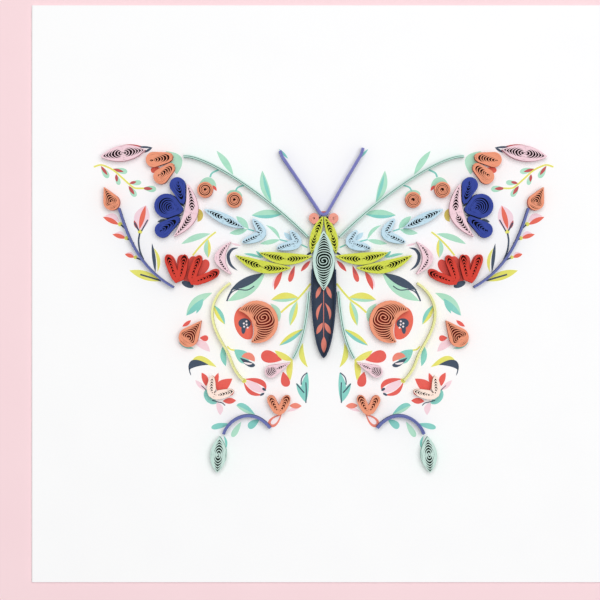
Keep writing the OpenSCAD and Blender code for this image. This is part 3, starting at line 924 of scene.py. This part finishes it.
coral_paper = dyed_paper("dyed_coral", "e99675", "cf5f47", "6a190f")
bell_px = {
    "upper": ((153.7, 160), (168.8, 157.6), 7.8, 4.68),
    "lower": ((161.2, 176.8), (171, 168), 7.8, 4.68),
}
bell_core_px = {"upper": (150.8, 161), "lower": (158.9, 175.6)}
bell_loose = {"upper": 7, "lower": 6}
snug_parting = 0.0003
coral_bud_px = ((112, 202.3), (104.4, 187.6), 7.8)
round_buds_px = ((205.3, 190), (234.4, 200.1))
round_bud_r_px = 7.97
ring_points, ring_step = 45, 0.14
for wing, side in wings.items():
    bell = []
    for piece, outline_px in bell_px.items():
        outline = drop_outline(*outline_px)
        bell.append(filled(f"{wing} {piece} bell", outline, bell_core_px[piece], 4, bell_loose[piece]))
    stand(wing + "_coral_bell", bell, coral_paper, "coral_paper", side, parting=snug_parting)
    bud = drop_route(wing + " coral bud", *coral_bud_px, turns=8, room=0.72, waist=0, shift=-0.3)
    stand(wing + "_coral_bud", [bud], coral_paper, "coral_paper", side, thick=0.0002, parting=0.00024)
    buds = []
    for x, y in round_buds_px:
        angles = [i * ring_step for i in range(ring_points)]
        ring = [(x + round_bud_r_px * math.cos(a), y + round_bud_r_px * math.sin(a)) for a in angles]
        outline = [laid_out(p) for p in ring]
        buds.append(filled(wing + " round bud", outline, (x, y), tight=1, loose=4, core=0.0003))
    stand(wing + "_round_buds", buds, coral_paper, "coral_paper", side, thick=0.00024, parting=0.0002)


# Blue flower: three drops of royal blue paper whose tips meet at the sepal. The big middle
# one was pressed, so its turns gather at the tip and open as crescents on the round side.
blue_paper = dyed_paper("dyed_royal_blue", "2c4097", "1f2f86", "04072a")
blue_px = {
    "upper": ((177.6, 185.4), (182.9, 202.4), 8.2, 2.38),
    "middle": ((166.5, 206.1), (178.6, 209.8), 12.3, 4.67),
    "lower": ((162.9, 230.2), (177.6, 219.6), 8, 3.2),
}
blue_core_px = {"upper": (178.3, 182.4), "middle": (171.5, 208.5), "lower": (160.7, 231.4)}
blue_tight = {"upper": 5, "middle": 6, "lower": 5}
for wing, side in wings.items():
    for piece, outline_px in blue_px.items():
        outline = drop_outline(*outline_px)
        petal = filled(f"{wing} blue {piece}", outline, blue_core_px[piece], blue_tight[piece], loose=6)
        node = f"{wing}_blue_petal_{piece}"
        stand(node, [petal], blue_paper, "royal_blue_paper", side, parting=snug_parting)


# Light blue leaf and chevrons: the leaf is a coil pinched at both ends. The chevrons are the
# same coil bent over at its middle, so the comb of turns follows the bend.
def on_fold(p_px, corner_px, q_px):
    """Lays a coil along a curve from one tip round the corner to the other."""
    steps = 80
    least_room = 0.85
    p, q = laid_out(p_px), laid_out(q_px)
    pull = (8 * laid_out(corner_px) - p - q) / 6
    path = cubic([p, pull, pull, q], steps)
    marks = [0]
    for a, b in zip(path, path[1:]):
        marks.append(marks[-1] + (b - a).length)

    def onto(x, y):
        along = (1 + x) / 2 * marks[-1]
        i = min(max(bisect.bisect(marks, along), 1), steps)
        share = (along - marks[i - 1]) / (marks[i] - marks[i - 1])
        t = (i - 1 + share) / steps
        way = (1 - t) ** 2 * (pull - p) + t**2 * (q - pull)
        bend = 2 * t * (q - pull) - 2 * (1 - t) * (pull - p)
        turn = way.x * bend.y - way.y * bend.x
        if y * turn > 0:
            y = math.copysign(min(abs(y), least_room * way.length**3 / abs(turn)), y)
        across = Vector((-way.y, way.x)).normalized()
        return path[i - 1].lerp(path[i], share) + across * y

    return onto


def fold_route(name, p_px, corner_px, q_px, width, turns, blunt=2.6, **ways):
    """Route of a folded coil of even width. The higher blunt is, the blunter are its ends."""
    rounding = 0.6
    onto = on_fold(p_px, corner_px, q_px)
    reach = width * pixel / 2
    return pinched(name, turns, reach, onto, lambda x: (1 - min(1, abs(x) ** blunt)) ** rounding, **ways)


light_blue_paper = dyed_paper("dyed_light_blue", "bedae8", "93c0d6", "142c3a")
blue_leaf_px = ((205.2, 209.8), (243.3, 227.8), 4.93, 4.93)
chevrons_px = {
    "outer": ((253.3, 219.3), (261.2, 233.8), (242.6, 242.4)),
    "inner": ((290.7, 230.8), (296.7, 242.8), (277, 248.4)),
}
chevron = {"width": 9.5, "turns": 8, "blunt": 1.7, "room": 0.5, "waist": 0.2, "lean": -0.2}
for wing, side in wings.items():
    leaf = bow_route(wing + " blue leaf", *blue_leaf_px, turns=8, room=0.68, waist=0.3)
    stand(wing + "_blue_leaf", [leaf], light_blue_paper, "light_blue_paper", side, thick=thin_wall)
    for piece, fold_px in chevrons_px.items():
        route = fold_route(f"{wing} {piece} chevron", *fold_px, **chevron)
        stand(f"{wing}_chevron_{piece}", [route], light_blue_paper, "light_blue_paper", side)


# Red petals: two coils of scarlet paper, each folded over at its middle, with blunt ends.
# They are glued to the card over the printed petals, and their bends meet at the calyx.
scarlet_paper = dyed_paper("dyed_scarlet", "d03a2b", "b3241d", "3a0504")
red_px = {
    "left": ((167.4, 255.2), (178.4, 279.6), (185, 255)),
    "right": ((200.2, 256), (193, 280.6), (218.4, 272.2)),
}
red_fold = {"width": 8, "turns": 9, "blunt": 9, "room": 0.36, "waist": 0.5}
for wing, side in wings.items():
    petals = [fold_route(f"{wing} {piece} petals", *red_px[piece], **red_fold) for piece in red_px]
    stand(wing + "_red_petals", petals, scarlet_paper, "scarlet_paper", side)


# Lime leaves and shoulder: coils pinched at both ends beside the thorax, bowed to one side.
# Each is one strip of lime paper, rolled, pinched and glued to the card on its edge.
lime_paper = dyed_paper("dyed_lime", "cdd54a", "a3ae22", "262c05")
lime_leaves_px = {
    "upper": ((311.2, 256.4), (260, 252.8), 10, 1.5),
    "lower": ((290.3, 268), (236, 255.6), 11, 0.8),
}
shoulder_px = ((322.7, 217.2), (311.4, 253), 3.2, 6.2)
for wing, side in wings.items():
    for piece, bow_px in lime_leaves_px.items():
        leaf = bow_route(f"{wing} lime {piece}", *bow_px, turns=10, room=0.64, waist=0.6)
        stand(f"{wing}_lime_leaf_{piece}", [leaf], lime_paper, "lime_paper", side, thick=thin_wall)
    shoulder = bow_route(wing + " shoulder", *shoulder_px, turns=7, room=0.68, waist=0.2)
    stand(wing + "_lime_shoulder", [shoulder], lime_paper, "lime_paper", side, thick=thin_wall)


# Stems: strips of paper stood on edge in a sweep. The violet and lime ones are three or four
# plies glued face to face, and the green ones two strips side by side over a dark line of
# painted shade on the card between them.
deep_violet_paper = dyed_paper("dyed_deep_violet", "666fab", "3c4482", "1a1f4c")
pale_lime_paper = dyed_paper("dyed_pale_lime", "efeea6", "d8d77c", "6a6a20")
stem_green_paper = dyed_paper("dyed_stem_green", "bfe3d8", "7fbcab", "2f5a4c")
stems_px = {
    "upper_stem": [[(183.6, 156.4), (203, 153.5), (264, 192.5), (308, 237)]],
    "side_stem": [[(119.2, 208.4), (127, 232), (136, 266), (173.7, 287.2)]],
    "lime_stem": [
        [(230.3, 283.2), (219, 290.5), (212.4, 301), (212.4, 313.5)],
        [(212.4, 313.5), (212.4, 332), (226, 346), (230.5, 359)],
        [(230.5, 359), (233, 366), (236, 373.5), (243.5, 380.2)],
    ],
    "lower_stem": [[(309, 291.5), (306.6, 318), (304.4, 339), (293, 358.4)]],
    "tail_stem": [[(223.6, 434), (228, 419), (252, 404.5), (270.3, 427.8)]],
}
stem_papers = {
    "upper_stem": (stem_green_paper, "stem_green_paper"),
    "side_stem": (deep_violet_paper, "violet_paper"),
    "lime_stem": (pale_lime_paper, "lime_paper"),
    "lower_stem": (stem_green_paper, "stem_green_paper"),
    "tail_stem": (deep_violet_paper, "violet_paper"),
}
pair_pitch, pair_wall = 0.0004, 0.00025
stem_plies = {
    "upper_stem": (2, pair_pitch, pair_wall),
    "side_stem": (3, ply_pitch, ply_wall),
    "lime_stem": (3, ply_pitch, ply_wall),
    "lower_stem": (2, pair_pitch, pair_wall),
    "tail_stem": (4, ply_pitch, ply_wall),
}
# Painted shade: a dark green film on the card along the green stems, for the shade between their two strips.
shade_px = 1.7
shaded = [stems_px[stem][0] for stem in ("upper_stem", "lower_stem")]
print_ink(
    "stem_shade",
    10,
    ("4d8776", "427a6a"),
    stalks=[(cubic([Vector(p) for p in curve], 12), shade_px) for curve in shaded],
)
for stem, curves in stems_px.items():
    path = []
    for curve in curves:
        path += cubic([laid_out(p) for p in curve], 22)[bool(path) :]
    for wing, side in wings.items():
        count, pitch, wall = stem_plies[stem]
        stand(f"{wing}_{stem}", plies(path, count, pitch), *stem_papers[stem], side, wall, rolled=False)


# Coral paper of the hind wing: the fruit, a big drop with its core near the round end, the
# peony, a wide coil drawn round the printed flower, and a heart folded over at its middle.
def on_arcs(p_px, q_px, inner, outer):
    """Lays a coil between two tips along arcs that all meet there."""
    p, q = laid_out(p_px), laid_out(q_px)
    half = (q - p) / 2
    along = half.normalized()
    across = Vector((-along.y, along.x))

    def onto(x, y):
        rise = ((outer + inner) + (outer - inner) * y) / 2 * pixel
        radius = (half.length**2 + rise**2) / (2 * rise)
        angle = x * math.atan2(half.length, radius - rise)
        height = rise - radius + radius * math.cos(angle)
        return (p + q) / 2 + along * radius * math.sin(angle) + across * height

    return onto


# The same coral paper as on the fore wing, with a lighter painted shade in its gaps.
coral_paper_light_gap_shade = dyed_paper("dyed_deep_coral", "e99675", "cf5f47", "c03a2c")
fruit_px = ((188.7, 337.2), (201.4, 320.7), 9.5)
peony_px = ((239.6, 310.4), (251.6, 341.8), 8, 33.2)
peony_open = {"room": 0.84, "waist": 0.2, "lean": -0.06, "shift": -0.06}
heart_px = ((269.8, 396), (279, 411), (288, 395.6))
heart_fold = {"width": 8, "turns": 7, "blunt": 9, "room": 0.42, "waist": 0.4}
for wing, side in wings.items():
    fruit = drop_route(wing + " fruit", *fruit_px, turns=10, room=0.88, waist=0, shift=-0.4)
    stand(wing + "_fruit", [fruit], coral_paper_light_gap_shade, "coral_paper", side, thick=0.0002, parting=0.00028)
    peony = pinched(wing + " peony", 13, 1, on_arcs(*peony_px), lambda x: 1, **peony_open)
    stand(wing + "_peony", [peony], coral_paper_light_gap_shade, "coral_paper", side, parting=0.00036)
    heart = fold_route(wing + " heart", *heart_px, **heart_fold)
    stand(wing + "_heart", [heart], coral_paper_light_gap_shade, "coral_paper", side)


# Pale pieces of the hind wing: a pink drop, a blush lily bent into a hook, and the mint coil
# that hangs from the tail stem, pinched at both ends.
blush_paper = dyed_paper("dyed_blush", "fae3d6", "e3ad98", "5a2416")
pink_drop_px = ((271.1, 371.3), (290, 362.8), 5.9)
lily_px = ((212.6, 376.4), (213.6, 394), (233.4, 390.8))
tail_px = ((219.9, 437.2), (217.5, 471.8), 7.8, 7.8)
for wing, side in wings.items():
    drop = drop_route(wing + " pink drop", *pink_drop_px, turns=8, room=0.72, waist=0.6, shift=-0.1)
    stand(wing + "_pink_drop", [drop], pink_paper, "pale_pink_paper", side, thick=0.00019, parting=0.00024)
    lily = fold_route(wing + " lily", *lily_px, width=8.7, turns=8, room=0.4, waist=0.4)
    stand(wing + "_lily", [lily], blush_paper, "blush_paper", side)
    tail = bow_route(wing + " tail", *tail_px, turns=7, room=0.5)
    stand(wing + "_tail_coil", [tail], mint_paper, "mint_paper", side)


# Table: a plain pale pink top under the card, matt and almost even in tone.
# It belongs to the picture and not to the object.
bpy.ops.mesh.primitive_plane_add(size=3, location=(0, 0, 0))
table = bpy.context.object
table.name = "table"
table_finish, start, shader = new_finish("pale_pink_table")
place = start.node("ShaderNodeTexCoord", out="Object")
table_cloud = noise(start, place, scale=40)
table_cloud.mixed(colour("f7dade"), colour("f4d5da")).into(shader, "Base Color")
shader.inputs["Roughness"].default_value = 0.8
table.data.materials.append(table_finish)


# Light and camera: a wide soft lamp beyond the antennae and an even white room.
# The camera looks straight down at the card, a little to its left, and the picture's
# scale holds half-way up the strips.
bpy.ops.object.light_add(type="AREA", location=(0.09, 0.13, 0.95))
window = bpy.context.object
window.name = "window_light"
window.data.shape = "RECTANGLE"
window.data.size = 0.7
window.data.size_y = 0.6
window.data.energy = 7.05
window.rotation_euler = (Vector((0, 0, 0)) - window.location).to_track_quat("-Z", "Y").to_euler()

room = bpy.data.worlds.new("room")
bpy.context.scene.world = room
room.use_nodes = True
room.node_tree.nodes["Background"].inputs["Color"].default_value = (1, 1, 1, 1)
room.node_tree.nodes["Background"].inputs["Strength"].default_value = 0.37

frame_px = 600
camera_x = axis_x + (frame_px / 2 - axis_px) * pixel
camera_y = (middle_px - frame_px / 2) * pixel
camera_height = 0.55
scale_height = 0.0025
bpy.ops.object.camera_add(location=(camera_x, camera_y, scale_height + camera_height))
camera = bpy.context.object
camera.name = "camera"
camera.data.sensor_width = 36
camera.data.lens = camera.data.sensor_width * camera_height / (frame_px * pixel)
camera.data.clip_start = 0.01
camera.data.clip_end = 10
bpy.context.scene.camera = camera

bpy.context.scene.view_settings.view_transform = "Standard"
